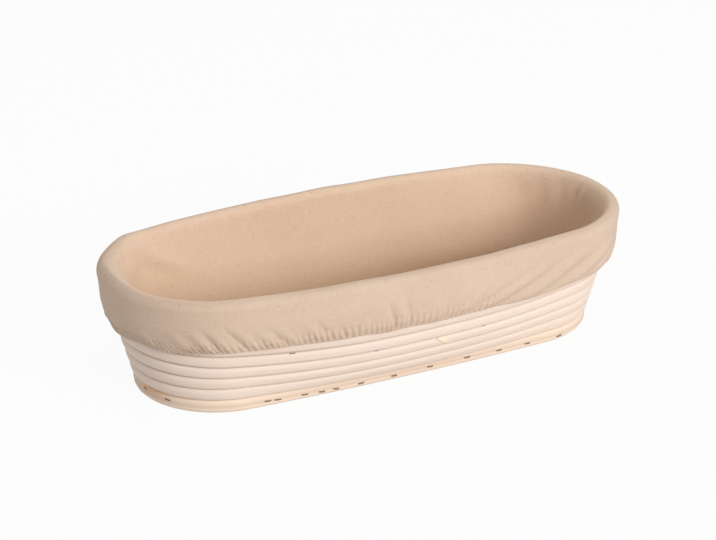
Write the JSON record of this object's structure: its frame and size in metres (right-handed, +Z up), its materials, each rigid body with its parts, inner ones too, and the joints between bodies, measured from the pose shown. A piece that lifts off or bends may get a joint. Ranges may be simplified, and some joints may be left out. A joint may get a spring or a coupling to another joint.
{
  "type": "proofing basket",
  "caption": "Long oval proofing basket wound from rattan cane and stapled turn to turn, with a lift-out cloth liner folded over the rim and gathered by an elastic",
  "frame": {"origin": "Middle of the underside, on the plane that the basket rests on", "axes": "+X along the length, +Y across to the back, +Z up; the picture looks from the left front and above"},
  "size_m": [0.3502, 0.1628, 0.0802],
  "materials": {
    "cane": "bare peeled rattan, fine long fibres",
    "foot_cane": "bare rattan, more yellow",
    "staple": "dulled steel wire",
    "cloth": "unbleached plain weave with slubs",
    "elastic": "braided elastic"
  },
  "bodies": {
    "basket": {"base_core": "cane", "base_cane": "cane", "wall_cane_lower": "cane", "wall_cane_upper": "cane", "foot_ring": "foot_cane", "foot_staple_01": "staple", "foot_staple_02": "staple", "foot_staple_03": "staple", "foot_staple_04": "staple", "foot_staple_05": "staple", "foot_staple_06": "staple", "foot_staple_07": "staple", "foot_staple_08": "staple", "foot_staple_09": "staple", "foot_staple_10": "staple", "foot_staple_11": "staple", "foot_staple_12": "staple", "foot_staple_13": "staple", "foot_staple_14": "staple", "foot_staple_15": "staple", "foot_staple_16": "staple", "foot_staple_17": "staple", "foot_staple_18": "staple", "foot_staple_19": "staple", "foot_staple_20": "staple", "foot_staple_21": "staple", "foot_staple_22": "staple", "foot_staple_23": "staple", "foot_staple_24": "staple", "foot_staple_25": "staple", "foot_staple_26": "staple", "foot_staple_27": "staple", "foot_staple_28": "staple", "base_staple_01": "staple", "base_staple_02": "staple", "base_staple_03": "staple", "base_staple_04": "staple", "base_staple_05": "staple", "wall_staple_01": "staple", "wall_staple_02": "staple", "wall_staple_03": "staple", "wall_staple_04": "staple", "wall_staple_05": "staple", "wall_staple_06": "staple", "wall_staple_07": "staple", "wall_staple_08": "staple", "wall_staple_09": "staple", "wall_staple_10": "staple", "wall_staple_11": "staple", "wall_staple_12": "staple", "wall_staple_13": "staple", "wall_staple_14": "staple", "wall_staple_15": "staple", "wall_staple_16": "staple"},
    "liner": {"liner_cup": "cloth", "liner_skirt": "cloth", "liner_elastic": "elastic"}
  },
  "joints": [
    {"name": "liner_lift", "type": "slide", "parent": "basket", "child": "liner", "axis": [0, 0, 1], "range_m": [0, 0.09], "deforming": ["liner_skirt", "liner_elastic"]}
  ]
}
